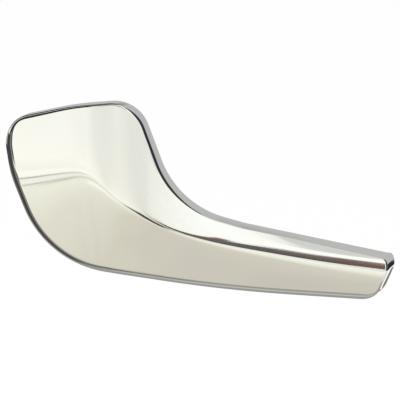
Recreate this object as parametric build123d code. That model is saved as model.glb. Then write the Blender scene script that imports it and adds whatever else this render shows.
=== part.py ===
from build123d import *
import math
import os

# Right-hand interior door pull of a car: a moulded, chrome-plated lever that swings on a steel pin against a
# torsion spring. Millimetres. X runs to the rear of the car along the pull, Y into the door and Z up.
# The origin is on the hinge axis, at the lower shoulder of the pin, where the lower ear of the door begins.

# Lever shell
SKIN = 2.4  # wall of the front skin and of the sides
SIDE_DEPTH = 7.0  # straight side wall, from the open rim to the plane of the front edge
EDGE_BEVEL = 0.6  # bevel that breaks the front edge
RIM_CHAMFER = 0.5  # bevel on both edges of the open rim
RIM_TO_AXIS = 5.0  # open rim to the hinge axis

# Outline of the lever, seen from the cabin
PULL_REACH = 111.3  # hinge axis to the tip
HEAD_REACH = 17.2  # hinge axis to the forward corner of the head
HEAD_TOP = 36.6  # rear upper corner of the head, above the lower ear
CROWN_DROP = 2.3  # crown of the head, below that corner
FORWARD_DROP = 8.0  # forward upper corner of the head, below that corner
HEAD_BOTTOM = 17.8  # lower corner of the head, below the lower ear
NECK_REACH = 40.0  # hinge axis to the neck, where the pull leaves the head
TIP_TOP = 9.5  # upper corner of the tip, below the lower ear
TIP_HEIGHT = 14.4
TIP_RAKE = 0.9  # lower corner of the tip, forward of the upper one

# Its corners in order: X, Z and the radius that rounds each one
CORNERS = [
    (-HEAD_REACH, HEAD_TOP - FORWARD_DROP, 9.9),  # forward corner of the head
    (6.7, HEAD_TOP - CROWN_DROP, 90.0),  # crown of the head
    (26.8, HEAD_TOP, 11.7),  # rear corner of the head
    (39.9, 2.75, 28.8),  # hollow shoulder between head and pull
    (62.2, -2.1, 33.0),  # upper edge of the pull
    (PULL_REACH, -TIP_TOP, 3.0),
    (PULL_REACH - TIP_RAKE, -TIP_TOP - TIP_HEIGHT, 8.0),
    (57.6, -23.7, 500.0),  # lower edge of the pull
    (-2.3, -HEAD_BOTTOM, 32.0),  # heel of the head
    (-14.1, 11.05, 37.6),  # forward edge of the head
]

# Ridge of the front face, as stations along X: ridge position on Z, its height in front of the edge plane,
# slope of the facet above and below it in degrees, and the half-width over which the ridge is rounded
RIDGE_STATIONS = [
    (-24.0, 8.4, 1.0, 5.0, 5.0, 10.0),
    (-8.0, 10.8, 1.7, 6.0, 5.0, 9.0),
    (7.0, 13.0, 2.3, 6.4, 5.4, 7.0),
    (20.0, 7.4, 3.0, 6.6, 6.4, 3.4),
    (30.0, 0.8, 3.5, 8.5, 8.8, 1.8),
    (NECK_REACH, -3.3, 3.6, 20.0, 10.6, 1.3),
    (0.82 * NECK_REACH + 0.18 * PULL_REACH, -6.1, 3.6, 32.0, 11.8, 1.5),
    (0.4 * NECK_REACH + 0.6 * PULL_REACH, -9.6, 3.6, 40.0, 14.2, 1.8),
    (PULL_REACH + 6.0, -12.6, 3.5, 44.0, 17.0, 2.1),
]
FACET_REACH = 52.0  # how far the facets are drawn to each side of the ridge, past every edge
FACET_STEPS = 9  # points on each facet
FACET_CROWDING = 2.4  # power that draws those points towards the ridge
FACET_TOLERANCE = 0.01
STATION_STEP = 4.0  # spacing of the sections along X

# Stiffening ribs inside the shell
RIB = 1.4
RIB_SETBACK = 3.0  # rib edge to the open rim
RIB_PITCH = 13.0
FIRST_RIB_X = 48.0
LAST_RIB_GAP = 12.0  # last rib to the tip
SPINE_RIB_Z = -11.5  # rib along the pull, at the first cross rib
SPINE_RIB_FALL = 4.5  # degrees, towards the tip

# Hinge
PIN_DIAMETER = 5.0
SPIGOT_DIAMETER = 4.0
SPIGOT_LENGTH = 6.0
PIN_CHAMFER = 0.5
BORE_CLEARANCE = 0.05  # radial, lug on pin
LUG = 4.0  # thickness of a hinge lug
LUG_RADIUS = 5.0
LUG_ROOT = 17.0  # width of a lug where it leaves the skin
LUG_END_PLAY = 0.5  # lug to pin shoulder
WEB_GAP = 1.5  # spring coil to the web between the lugs
CABLE_ARM = 16.0  # hinge axis to the seat of the cable end, into the door
CABLE_ARM_LEAN = 5.0  # the same, to the rear
CABLE_SEAT_DIAMETER = 5.0
CABLE_SEAT_WALL = 1.8
CABLE_SLOT = 2.0

# Return spring
WIRE = 1.2
WIRE_SIDES = 8  # the round wire is drawn as a bar with flats
COIL_PITCH = 1.25
COIL_TURNS = 5
COIL_CLEARANCE = 0.3  # radial, coil on pin
COIL_END_GAP = 0.8  # coil to lug
SKIN_LEG_X = -10.0  # where the spring presses on the skin
SKIN_LEG_GAP = 0.15
DOOR_LEG = 16.0  # straight leg that bears on the door

RIM_Y = -RIM_TO_AXIS
EDGE_Y = RIM_Y - SIDE_DEPTH
BLOCK = 100.0  # depth of the blocks that are cut to shape
SPRING_LENGTH = COIL_PITCH * COIL_TURNS + WIRE
LUG_GAP = SPRING_LENGTH + 2 * COIL_END_GAP
LOWER_LUG_Z = LUG_END_PLAY
UPPER_LUG_Z = LOWER_LUG_Z + LUG + LUG_GAP
PIN_BODY = UPPER_LUG_Z + LUG + LUG_END_PLAY


def ridge_at(x):
    """Ridge values at x, by a cubic that passes smoothly through the stations."""
    last = len(RIDGE_STATIONS) - 2
    i = next((k for k in range(last) if x < RIDGE_STATIONS[k + 1][0]), last)
    a, b = RIDGE_STATIONS[i], RIDGE_STATIONS[i + 1]
    before, after = RIDGE_STATIONS[max(i - 1, 0)], RIDGE_STATIONS[min(i + 2, last + 1)]
    span = b[0] - a[0]
    t = (x - a[0]) / span
    values = []
    for k in range(1, len(a)):
        slope_a = (b[k] - before[k]) / (b[0] - before[0]) * span
        slope_b = (after[k] - a[k]) / (after[0] - a[0]) * span
        bend = 2 * (a[k] - b[k]) + slope_a + slope_b
        rise = 3 * (b[k] - a[k]) - 2 * slope_a - slope_b
        values.append(a[k] + t * (slope_a + t * (rise + t * bend)))
    return values


def front_point(x, offset):
    """Point of the front face at x, the given distance above the ridge."""
    ridge_z, height, upper, lower, rounding = ridge_at(x)
    up, down = math.tan(math.radians(upper)), math.tan(math.radians(lower))
    fall = (up + down) / 2 * (math.hypot(offset, rounding) - rounding) + (up - down) / 2 * offset
    return Vector(x, EDGE_Y - height + fall, ridge_z + offset)


def front_face():
    """Front face of the lever: two facets that meet at the rounded ridge."""
    near = [FACET_REACH * (k / FACET_STEPS) ** FACET_CROWDING for k in range(1, FACET_STEPS + 1)]
    offsets = [-d for d in reversed(near)] + [0.0] + near
    first, end = RIDGE_STATIONS[0][0], RIDGE_STATIONS[-1][0]
    count = round((end - first) / STATION_STEP)
    rows = [[front_point(first + (end - first) * k / count, d) for d in offsets] for k in range(count + 1)]
    return Face.make_surface_from_array_of_points(rows, tol=FACET_TOLERANCE, min_deg=3, max_deg=5)


def outline():
    """Outline of the lever in the X-Z plane, as straight runs with rounded corners."""
    points = [(x, z) for x, z, radius in CORNERS]
    radii = [radius for x, z, radius in CORNERS]
    return make_face(FilletPolyline(*points, radius=radii, close=True))


def column(sketch, y_front, y_back):
    """Prism of an X-Z sketch between two depths."""
    plane = Plane(origin=(0, y_back, 0), x_dir=(1, 0, 0), z_dir=(0, -1, 0))
    return extrude(plane * sketch, amount=y_back - y_front, dir=(0, -1, 0))


def plate(sketch, z, thickness):
    """Plate of an X-Y sketch that stands on the given height."""
    return extrude(Pos(0, 0, z) * sketch, amount=thickness)


def ribs():
    """Ribs across and along the pull, and across the head at each lug."""
    y = RIM_Y - RIB_SETBACK - BLOCK / 2
    span = PULL_REACH - LAST_RIB_GAP - FIRST_RIB_X
    count = round(span / RIB_PITCH)
    cross = [Pos(FIRST_RIB_X + span * k / count, y, 0) * Box(RIB, BLOCK, BLOCK) for k in range(count + 1)]
    start = Pos(FIRST_RIB_X, y, SPINE_RIB_Z) * Rot(0, SPINE_RIB_FALL, 0)
    spine = start * Box(BLOCK, BLOCK, RIB, align=(Align.MIN, Align.CENTER, Align.CENTER))
    head = [Pos(0, y, z + LUG / 2) * Box(BLOCK, BLOCK, RIB) for z in (LOWER_LUG_Z, UPPER_LUG_Z)]
    return cross + [spine] + head


def lug_sketch():
    """Hinge lug: a tongue that leaves the skin broad and ends round the pin."""
    root = Pos(0, EDGE_Y) * Rectangle(LUG_ROOT, SKIN)
    return make_hull([*root.edges(), *Circle(LUG_RADIUS).edges()])


def cable_arm_sketch():
    """Arm that reaches into the door from the lower lug, to the seat of the cable end."""
    tip = Pos(CABLE_ARM_LEAN, CABLE_ARM) * Circle(CABLE_SEAT_DIAMETER / 2 + CABLE_SEAT_WALL)
    return make_hull([*tip.edges(), *Circle(LUG_RADIUS).edges()])


def cable_seat_sketch():
    """Round seat of the cable end, with the slot that the cable leaves through, to the front of the car."""
    seat = Circle(CABLE_SEAT_DIAMETER / 2)
    slot = Rectangle(CABLE_SEAT_DIAMETER, CABLE_SLOT, align=(Align.MAX, Align.CENTER))
    return Pos(CABLE_ARM_LEAN, CABLE_ARM) * (seat + slot)


def make_lever():
    """Lever, moulded in one piece: shell with ribs, two hinge lugs, the web between them, the cable arm."""
    before_front = extrude(front_face(), amount=BLOCK, dir=(0, -1, 0))
    shape = outline()
    blank = column(shape, EDGE_Y - BLOCK / 2, RIM_Y) - before_front
    front_edges = [e for e in blank.edges() if e.bounding_box().max.Y < RIM_Y - SIDE_DEPTH / 2]
    blank = chamfer(front_edges, EDGE_BEVEL)
    hollow = column(offset(shape, -SKIN), EDGE_Y - BLOCK / 2, RIM_Y) - Pos(0, SKIN, 0) * before_front
    shell = blank - (hollow - ribs())
    rim_edges = shell.edges().filter_by_position(Axis.Y, RIM_Y, RIM_Y)
    shell = chamfer(rim_edges, RIM_CHAMFER)

    lug = lug_sketch() - Circle(PIN_DIAMETER / 2 + BORE_CLEARANCE)
    upper = plate(lug, UPPER_LUG_Z, LUG)
    lower = plate(lug + (cable_arm_sketch() - lug_sketch()) - cable_seat_sketch(), LOWER_LUG_Z, LUG)
    web_x = PIN_DIAMETER / 2 + COIL_CLEARANCE + WIRE + WEB_GAP
    corner = (Align.MIN, Align.MAX, Align.MIN)
    web = Pos(web_x, RIM_Y, LOWER_LUG_Z) * Box(RIB, BLOCK / 2, UPPER_LUG_Z, align=corner)
    hinge = (lower + upper + web) - Pos(0, SKIN / 2, 0) * before_front
    return shell + hinge


def make_pivot_pin():
    """Turned pin: a body that the lugs run on, and a spigot at each end for the ears of the door."""
    body = Cylinder(PIN_DIAMETER / 2, PIN_BODY, align=(Align.CENTER, Align.CENTER, Align.MIN))
    length = PIN_BODY + 2 * SPIGOT_LENGTH
    core = Pos(0, 0, PIN_BODY / 2) * Cylinder(SPIGOT_DIAMETER / 2, length)
    core = chamfer(core.edges().filter_by(GeomType.CIRCLE), PIN_CHAMFER)
    return body + core


def make_return_spring():
    """Torsion spring: close coils round the pin, one leg on the skin and one that bears on the door."""
    radius = PIN_DIAMETER / 2 + COIL_CLEARANCE + WIRE / 2
    start_z = LOWER_LUG_Z + LUG + COIL_END_GAP + WIRE / 2
    skin_y = front_point(SKIN_LEG_X, 0).Y + SKIN + SKIN_LEG_GAP + WIRE / 2
    reach = math.hypot(SKIN_LEG_X, skin_y)
    leave = math.degrees(math.atan2(skin_y, SKIN_LEG_X) - math.acos(radius / reach)) % 360
    turns = COIL_TURNS + (leave - 180) / 360
    coil = Pos(0, 0, start_z) * Rot(0, 0, 180) * Helix(COIL_PITCH, COIL_PITCH * turns, radius)
    skin_leg = Line(coil @ 1, coil @ 1 + (coil % 1) * math.sqrt(reach**2 - radius**2))
    door_leg = Line(coil @ 0 - (coil % 0) * DOOR_LEG, coil @ 0)
    path = Wire([door_leg, coil, skin_leg])
    wire = Plane(origin=path @ 0, z_dir=path % 0) * RegularPolygon(WIRE / 2, WIRE_SIDES)
    return sweep(wire, path=path, is_frenet=True)


os.makedirs("parts", exist_ok=True)
for name, solid in (
    ("lever", make_lever()),
    ("pivot_pin", make_pivot_pin()),
    ("return_spring", make_return_spring()),
):
    export_step(solid, f"parts/{name}.step")
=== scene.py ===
# %% [markdown]
# # A chrome door pull
# The part is the lever that opens a car door from inside: a broad head beside the hinge and a tapering
# pull with a crease along it. It is plastic, moulded in one shot and plated with copper, nickel and
# chrome. Behind it sit a steel pin and a torsion spring. Chrome has no colour of its own, so this lesson
# is mostly about two things: a surface smooth enough to act as a mirror, and a studio worth mirroring.

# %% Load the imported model
import math

import bmesh
import bpy
import numpy as np
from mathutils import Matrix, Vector


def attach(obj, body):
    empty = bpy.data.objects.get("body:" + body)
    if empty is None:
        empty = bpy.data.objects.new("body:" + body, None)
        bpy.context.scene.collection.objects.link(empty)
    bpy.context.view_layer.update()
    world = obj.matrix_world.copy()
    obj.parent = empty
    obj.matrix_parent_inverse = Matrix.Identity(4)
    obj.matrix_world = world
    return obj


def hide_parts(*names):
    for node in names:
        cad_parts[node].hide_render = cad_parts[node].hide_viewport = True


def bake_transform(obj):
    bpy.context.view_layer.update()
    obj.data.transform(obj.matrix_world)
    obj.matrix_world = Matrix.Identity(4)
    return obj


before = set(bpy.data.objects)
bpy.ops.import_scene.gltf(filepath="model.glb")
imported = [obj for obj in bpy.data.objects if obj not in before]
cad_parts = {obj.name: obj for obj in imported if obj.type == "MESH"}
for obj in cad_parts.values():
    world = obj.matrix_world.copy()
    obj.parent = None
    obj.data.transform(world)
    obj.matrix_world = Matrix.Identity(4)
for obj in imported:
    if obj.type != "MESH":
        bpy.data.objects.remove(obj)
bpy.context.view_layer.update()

MM = 0.001

# %% [markdown]
# ## The camera
# The pull is seen a little from its tip side and a little from above. A long lens from about a metre away
# keeps the edges nearly parallel, as in a catalogue picture. A camera could be aimed with a constraint,
# but a direction worked out from two angles is easier to check against the picture.

# %% Place the camera
CAMERA_AZIMUTH, CAMERA_ELEVATION = math.radians(14), math.radians(12)
CAMERA_DISTANCE = 0.9
VIEW_WIDTH = 128.2 * MM
LOOK_AT = Vector((48.4, -10.0, 5.5)) * MM


def put_in_scene(name, data):
    """Object that shows the given data, linked into the scene."""
    made = bpy.data.objects.new(name, data)
    bpy.context.collection.objects.link(made)
    return made


to_camera = Vector((
    math.sin(CAMERA_AZIMUTH) * math.cos(CAMERA_ELEVATION),
    -math.cos(CAMERA_AZIMUTH) * math.cos(CAMERA_ELEVATION),
    math.sin(CAMERA_ELEVATION),
))
camera = put_in_scene("camera", bpy.data.cameras.new("camera"))
camera.data.lens = camera.data.sensor_width * CAMERA_DISTANCE / VIEW_WIDTH
camera.location = LOOK_AT + CAMERA_DISTANCE * to_camera
camera.rotation_euler = to_camera.to_track_quat("Z", "Y").to_euler()
bpy.context.scene.camera = camera
bpy.context.scene.view_settings.view_transform = "Standard"
print("lens in mm:", round(camera.data.lens, 1))

# %% [markdown]
# ## A bench for node trees
# Materials and Geometry Nodes are both graphs. Wiring them line by line hides the idea behind them, so a
# socket is wrapped in a small class: a sum of sockets written in Python adds the Math nodes, and one
# method adds any other node.

# %% Wrap sockets so that sums read as Python


class Value:
    """One output socket of a node tree."""

    def __init__(self, bench, socket):
        self.bench, self.socket = bench, socket

    def math(self, operation, *terms):
        return self.bench.node("ShaderNodeMath", {"operation": operation}, dict(enumerate((self, *terms))))

    def __add__(self, other):
        return self.math("ADD", other)

    def __sub__(self, other):
        return self.math("SUBTRACT", other)

    def __rsub__(self, other):
        return self.bench.node("ShaderNodeMath", {"operation": "SUBTRACT"}, {0: other, 1: self})

    def __mul__(self, other):
        return self.math("MULTIPLY", other)

    def __truediv__(self, other):
        return self.math("DIVIDE", other)

    __radd__ = __add__
    __rmul__ = __mul__


class Bench:
    """A node tree; node() adds one node with its settings and wires its sockets."""

    def __init__(self, tree):
        self.tree = tree

    def node(self, kind, settings=None, sockets=None, out=0):
        made = self.tree.nodes.new(kind)
        for name, value in (settings or {}).items():
            if name == "stops":
                self.set_stops(made.color_ramp, value)
            else:
                setattr(made, name, value)
        for name, value in (sockets or {}).items():
            if isinstance(value, Value):
                self.tree.links.new(value.socket, made.inputs[name])
            else:
                made.inputs[name].default_value = value
        if isinstance(out, tuple):
            return [Value(self, made.outputs[name]) for name in out]
        return Value(self, made.outputs[out]) if len(made.outputs) else None

    @staticmethod
    def set_stops(ramp, stops):
        while len(ramp.elements) < len(stops):
            ramp.elements.new(1.0)
        for element, (place, color) in zip(ramp.elements, stops):
            element.position, element.color = place, (*color, 1.0)

    def step(self, value, low, high):
        """0 below low, 1 above high, smooth between them."""
        sockets = {"Value": value, "From Min": low, "From Max": high}
        return self.node("ShaderNodeMapRange", {"interpolation_type": "SMOOTHSTEP"}, sockets)

    def mix(self, factor, a, b):
        """Colour a where the factor is 0 and b where it is 1."""
        return self.node("ShaderNodeMix", {"data_type": "RGBA"}, {0: factor, 6: a, 7: b}, out=2)

    def noise(self, place, scale, detail):
        """Cloudy noise from 0 to 1 at each place."""
        sockets = {"Vector": place, "Scale": scale, "Detail": detail}
        return self.node("ShaderNodeTexNoise", {}, sockets, out="Fac")


def new_material(name):
    """An empty material and the bench for its nodes."""
    material = bpy.data.materials.new(name)
    material.use_nodes = True
    material.node_tree.nodes.clear()
    return material, Bench(material.node_tree)


print("bench ready")

# %% [markdown]
# ## Chrome plate
# Fresh plate is close to a perfect mirror. What gives it away as plated plastic is small: the skin is a
# little wavy from the mould, a thin haze changes the gloss from place to place, and inside the shell,
# where nobody polishes the mould, the same plate is dull. One even roughness would look too clean, so all
# three are added to a metal shader. An attribute called inside carries the last of them from the mesh.

# %% Chrome material
CHROME = (0.875, 0.872, 0.856, 1.0)
CHROME_WARM = (0.885, 0.872, 0.838, 1.0)
POLISHED_ROUGHNESS, HAZE_ROUGHNESS, INSIDE_ROUGHNESS = 0.035, 0.03, 0.2
PEEL_HEIGHT = 1.4e-6  # metres, waviness left by the mould
HAZE_SCALE, PEEL_SCALE, GRAIN_SCALE = 38.0, 140.0, 2600.0  # clouds in a metre, roughly
HAZE_LIMITS, HAZE_WARMTH = (0.35, 0.72), 0.8
GRAIN_ROUGHNESS, GRAIN_BUMP = 0.1, 3.0  # of the unpolished inside


def chrome_plate():
    """Plated plastic: a mirror outside, dull inside."""
    material, bench = new_material("chrome_plate")
    spot = bench.node("ShaderNodeTexCoord", out="Object")
    inside = bench.node("ShaderNodeAttribute", {"attribute_name": "inside"}, out="Fac")
    haze = bench.step(bench.noise(spot, HAZE_SCALE, 3.0), *HAZE_LIMITS)
    peel = bench.noise(spot, PEEL_SCALE, 1.0)
    grain = bench.noise(spot, GRAIN_SCALE, 2.0)
    color = bench.mix(haze * HAZE_WARMTH, CHROME, CHROME_WARM)
    dull = INSIDE_ROUGHNESS + GRAIN_ROUGHNESS * grain
    roughness = POLISHED_ROUGHNESS + haze * HAZE_ROUGHNESS + inside * dull
    height = peel + inside * grain * GRAIN_BUMP
    bump = bench.node("ShaderNodeBump", {}, {"Strength": 1.0, "Distance": PEEL_HEIGHT, "Height": height})
    shader = bench.node("ShaderNodeBsdfPrincipled", {}, {
        "Base Color": color, "Metallic": 1.0, "Roughness": roughness, "Normal": bump,
    })
    bench.node("ShaderNodeOutputMaterial", {}, {"Surface": shader})
    return material


chrome = chrome_plate()
print("chrome nodes:", len(chrome.node_tree.nodes))

# %% [markdown]
# ## Steel for the pin and the spring
# The pin is turned in a lathe, so its tool marks run round it: fine rings along its axis. The spring is
# drawn wire, darker from its heat treatment, with faint streaks. A picture of scratches could be wrapped
# round them, but noise that is stretched differently on each axis gives both patterns. It reads Object
# coordinates, so it stays on the steel.

# %% Turned steel and spring wire
TURNED_STEEL, TURNED_STEEL_DARK = (0.62, 0.62, 0.61, 1.0), (0.47, 0.465, 0.455, 1.0)
WIRE_STEEL, WIRE_STEEL_DARK = (0.42, 0.42, 0.43, 1.0), (0.25, 0.245, 0.25, 1.0)
TURNED_RINGS, WIRE_STREAKS = (60, 60, 9000), (900, 900, 5200)  # marks in a metre along X, Y and Z, roughly
MARK_LIMITS, MARK_SHADE, MARK_BUMP = (0.3, 0.7), 0.3, 0.6
STAIN_SCALE, STAIN_LIMITS, STAIN_SHADE, STAIN_ROUGHNESS = 420.0, (0.45, 0.75), 0.6, 0.1


def steel(name, bright, dark, stretch, rough, rough_more, groove):
    """Bare steel whose noise is stretched into marks by the given scale on each axis."""
    material, bench = new_material(name)
    spot = bench.node("ShaderNodeTexCoord", out="Object")
    along = bench.node("ShaderNodeMapping", {}, {"Vector": spot, "Scale": stretch})
    marks = bench.step(bench.noise(along, 1.0, 3.0), *MARK_LIMITS)
    stain = bench.step(bench.noise(spot, STAIN_SCALE, 4.0), *STAIN_LIMITS)
    bump = bench.node("ShaderNodeBump", {}, {"Strength": MARK_BUMP, "Distance": groove, "Height": marks})
    shader = bench.node("ShaderNodeBsdfPrincipled", {}, {
        "Base Color": bench.mix(stain * STAIN_SHADE + marks * MARK_SHADE, bright, dark),
        "Metallic": 1.0,
        "Roughness": rough + rough_more * marks + STAIN_ROUGHNESS * stain,
        "Normal": bump,
    })
    bench.node("ShaderNodeOutputMaterial", {}, {"Surface": shader})
    return material


turned = steel(
    "turned_steel", TURNED_STEEL, TURNED_STEEL_DARK, TURNED_RINGS, rough=0.2, rough_more=0.16, groove=4e-6
)
wire = steel(
    "spring_wire", WIRE_STEEL, WIRE_STEEL_DARK, WIRE_STREAKS, rough=0.27, rough_more=0.14, groove=3e-6
)
print("steels:", turned.name, wire.name)

# %% [markdown]
# ## The outline of the lever
# Seen from the cabin the lever is a closed run of straight edges with rounded corners. They follow the
# construction drawing to within a millimetre. Blender could fillet a curve, but a mirror needs exact
# directions too, so the outline is worked out here as points with their outward normals, spaced far finer
# than the mesh.

# %% Outline with rounded corners
PULL_REACH, NECK_REACH = 111.3, 40.0
CORNERS = [  # X, Z and rounding in mm, clockwise from the forward corner of the head
    (-18.1, 28.7, 9.9), (6.7, 34.6, 90.0), (27.1, 36.9, 11.7), (40.1, 2.95, 28.8), (62.2, -2.1, 33.0),
    (PULL_REACH - 1.1, -9.5, 2.4), (PULL_REACH - 0.75, -12.0, 2.5), (PULL_REACH - 0.75, -13.4, 2.0),
    (PULL_REACH - 5.0, -23.6, 7.5), (57.6, -23.7, 500.0), (-3.0, -18.4, 32.0), (-14.95, 11.3, 37.6),
]
FORWARD_CORNER, TIP_TOP_CORNER, TIP_BOTTOM_CORNER, HEEL_CORNER = 0, 5, 8, 10
FINE_STEP, FEWEST_POINTS = 0.05, 8


def rounded_corner(index):
    """Points and outward normals of one rounded corner."""
    before, here, after = (np.array(CORNERS[k % len(CORNERS)][:2]) for k in (index - 1, index, index + 1))
    radius = CORNERS[index][2]
    to_before = (before - here) / np.linalg.norm(before - here)
    to_after = (after - here) / np.linalg.norm(after - here)
    half = math.acos(np.clip(to_before @ to_after, -1, 1)) / 2
    middle = (to_before + to_after) / np.linalg.norm(to_before + to_after)
    centre = here + middle * radius / math.sin(half)
    start, end = (here + side * radius / math.tan(half) - centre for side in (to_before, to_after))
    first = math.atan2(start[1], start[0])
    turn = math.atan2(end[1], end[0]) - first
    turn = (turn + math.pi) % (2 * math.pi) - math.pi
    angles = first + turn * np.linspace(0, 1, max(FEWEST_POINTS, int(abs(turn) * radius / FINE_STEP)))
    ray = np.c_[np.cos(angles), np.sin(angles)]
    return centre + radius * ray, -np.sign(turn) * ray


rounded = [rounded_corner(k) for k in range(len(CORNERS))]
edge_points = np.vstack([points for points, normals in rounded] + [rounded[0][0][:1]])
edge_normals = np.vstack([normals for points, normals in rounded] + [rounded[0][1][:1]])
edge_lengths = np.r_[0, np.cumsum(np.linalg.norm(np.diff(edge_points, axis=0), axis=1))]
perimeter = edge_lengths[-1]
corner_ends = np.cumsum([len(points) for points, normals in rounded])
corner_middles = [edge_lengths[end - len(rounded[k][0]) // 2] for k, end in enumerate(corner_ends)]


def on_outline(lengths):
    """Points and outward normals at the given lengths along the outline."""
    at = np.mod(lengths, perimeter)
    point = np.c_[[np.interp(at, edge_lengths, edge_points[:, k]) for k in (0, 1)]].T
    normal = np.c_[[np.interp(at, edge_lengths, edge_normals[:, k]) for k in (0, 1)]].T
    return point, normal / np.linalg.norm(normal, axis=1)[:, None]


print("outline in mm:", round(perimeter, 1), "points:", len(edge_points))

# %% [markdown]
# ## The creased front face
# Two facets meet at a ridge that is tight along the pull and melts away in the head. A sculpted surface
# would do, but the face follows a rule: at each X the ridge has a place, a height, two slopes and a
# rounding, and a smooth cubic joins the stations. With a rule the normal can be worked out at any point,
# and true normals make clean reflections.

# %% Front face as a function
RIM_Y, SIDE_DEPTH, SKIN = -5.0, 7.0, 2.4
EDGE_Y = RIM_Y - SIDE_DEPTH


def on_pull(share):
    """X at a share of the way from the neck to the tip."""
    return NECK_REACH + share * (PULL_REACH - NECK_REACH)


RIDGE_STATIONS = np.array([  # X, ridge Z, height, upper and lower slope in degrees, rounding
    (-24.0, 6.6, 1.0, 5.0, 5.0, 10.0),
    (-8.0, 9.9, 1.7, 6.0, 5.0, 9.0),
    (5.0, 12.6, 2.3, 6.3, 5.3, 6.5),
    (13.5, 12.0, 2.74, 6.5, 5.8, 4.0),
    (20.0, 7.0, 3.1, 6.6, 6.4, 2.2),
    (30.0, 0.8, 3.62, 8.5, 8.8, 0.9),
    (NECK_REACH, -3.3, 3.75, 20.0, 10.6, 0.75),
    (on_pull(0.18), -6.4, 3.7, 29.8, 11.8, 1.15),
    (on_pull(0.4), -8.45, 3.56, 34.6, 13.03, 1.96),
    (on_pull(0.6), -9.65, 3.4, 41.0, 14.2, 2.8),
    (PULL_REACH + 6.0, -11.4, 3.0, 52.0, 17.0, 4.6),
])


def station_bends(stations):
    """Second derivatives at the stations of the natural cubic that runs through them."""
    span = np.diff(stations[:, 0])
    slope = np.diff(stations, axis=0) / span[:, None]
    system = np.eye(len(stations))
    change = np.zeros_like(stations)
    for k in range(1, len(stations) - 1):
        system[k, k - 1:k + 2] = span[k - 1], 2 * (span[k - 1] + span[k]), span[k]
        change[k] = 6 * (slope[k] - slope[k - 1])
    return np.linalg.solve(system, change)


ridge_bends = station_bends(RIDGE_STATIONS)


def ridge_at(x):
    """Ridge values at each x: Z, height, upper slope, lower slope and rounding."""
    i = np.clip(np.searchsorted(RIDGE_STATIONS[:, 0], x, side="right") - 1, 0, len(RIDGE_STATIONS) - 2)
    start, end = RIDGE_STATIONS[i], RIDGE_STATIONS[i + 1]
    span = end[:, :1] - start[:, :1]
    after = (x[:, None] - start[:, :1]) / span
    before = 1 - after
    bend = (before**3 - before) * ridge_bends[i] + (after**3 - after) * ridge_bends[i + 1]
    return (before * start + after * end + bend * span**2 / 6)[:, 1:].T


def front_y(x, z):
    """Depth of the front face at each x and z."""
    ridge_z, height, upper, lower, rounding = ridge_at(x)
    up, down = np.tan(np.radians(upper)), np.tan(np.radians(lower))
    offset = z - ridge_z
    fall = (up + down) / 2 * (np.hypot(offset, rounding) - rounding) + (up - down) / 2 * offset
    return EDGE_Y - height + fall


def front_normal(x, z, reach=0.01):
    """Unit normal of the front face, towards the cabin."""
    by_x = (front_y(x + reach, z) - front_y(x - reach, z)) / (2 * reach)
    by_z = (front_y(x, z + reach) - front_y(x, z - reach)) / (2 * reach)
    normal = np.c_[by_x, -np.ones_like(x), by_z]
    return normal / np.linalg.norm(normal, axis=1)[:, None]


mid_pull = np.array([on_pull(0.5)])
print("ridge at mid pull, Y in mm:", round(float(front_y(mid_pull, ridge_at(mid_pull)[0])[0]), 2))

# %% [markdown]
# ## A grid that follows ridge and edge
# The face could be cut out of a plain grid, but then the cut edge is ragged and the ridge runs across the
# squares. A Coons patch is better: columns run from the lower edge over the ridge to the upper edge, rows
# crowd together at the ridge, and the border of the grid follows the outline, ready to carry the rounded
# edge.

# %% Place the border of the grid on the outline
COLUMNS, LOWER_ROWS, UPPER_ROWS = 300, 38, 30
ROWS = LOWER_ROWS + UPPER_ROWS
RIDGE_CROWDING = 1.8
CROSSING_SAMPLES, SPACING_SAMPLES = 4000, 6000
across = np.linspace(0, 1, COLUMNS + 1)
# shares of the way from the ridge to the edge, row by row
lower_share = (np.arange(LOWER_ROWS, -1, -1) / LOWER_ROWS) ** RIDGE_CROWDING
upper_share = (np.arange(UPPER_ROWS + 1) / UPPER_ROWS) ** RIDGE_CROWDING
head, tip_top, tip_bottom, heel = (
    corner_middles[k] for k in (FORWARD_CORNER, TIP_TOP_CORNER, TIP_BOTTOM_CORNER, HEEL_CORNER)
)


def ridge_crossing(start, end):
    """Length along the outline where the ridge meets it, between two lengths."""
    lengths = np.linspace(start, end, CROSSING_SAMPLES)
    points, normals = on_outline(lengths)
    return lengths[np.argmin(np.abs(points[:, 1] - ridge_at(points[:, 0])[0]))]


def evenly_in_x(start, end):
    """Lengths from start to end whose points are evenly spaced on X."""
    lengths = np.linspace(start, end, SPACING_SAMPLES)
    x = on_outline(lengths)[0][:, 0]
    order = np.argsort(x)
    even = np.interp(x[0] + (x[-1] - x[0]) * across, x[order], lengths[order])
    even[0], even[-1] = start, end
    return even


left_ridge = ridge_crossing(heel, head + perimeter)
right_ridge = ridge_crossing(tip_top, tip_bottom)
top = evenly_in_x(head, tip_top)
bottom = evenly_in_x(heel, tip_bottom)
left = np.r_[left_ridge - lower_share * (left_ridge - heel),
             left_ridge + upper_share[1:] * (head + perimeter - left_ridge)]
right = np.r_[right_ridge + lower_share * (tip_bottom - right_ridge),
              right_ridge - upper_share[1:] * (right_ridge - tip_top)]
ring_cells = (
    [(i, ROWS) for i in range(COLUMNS)] + [(COLUMNS, j) for j in range(ROWS, 0, -1)]
    + [(i, 0) for i in range(COLUMNS, 0, -1)] + [(0, j) for j in range(ROWS)]
)
ring_lengths = np.r_[top[:-1], right[:0:-1], bottom[:0:-1], left[:-1]]
ring_points, ring_normals = on_outline(ring_lengths)
ring_outward = np.c_[ring_normals[:, 0], np.zeros(len(ring_normals)), ring_normals[:, 1]]
print("border points:", len(ring_cells))

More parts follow.
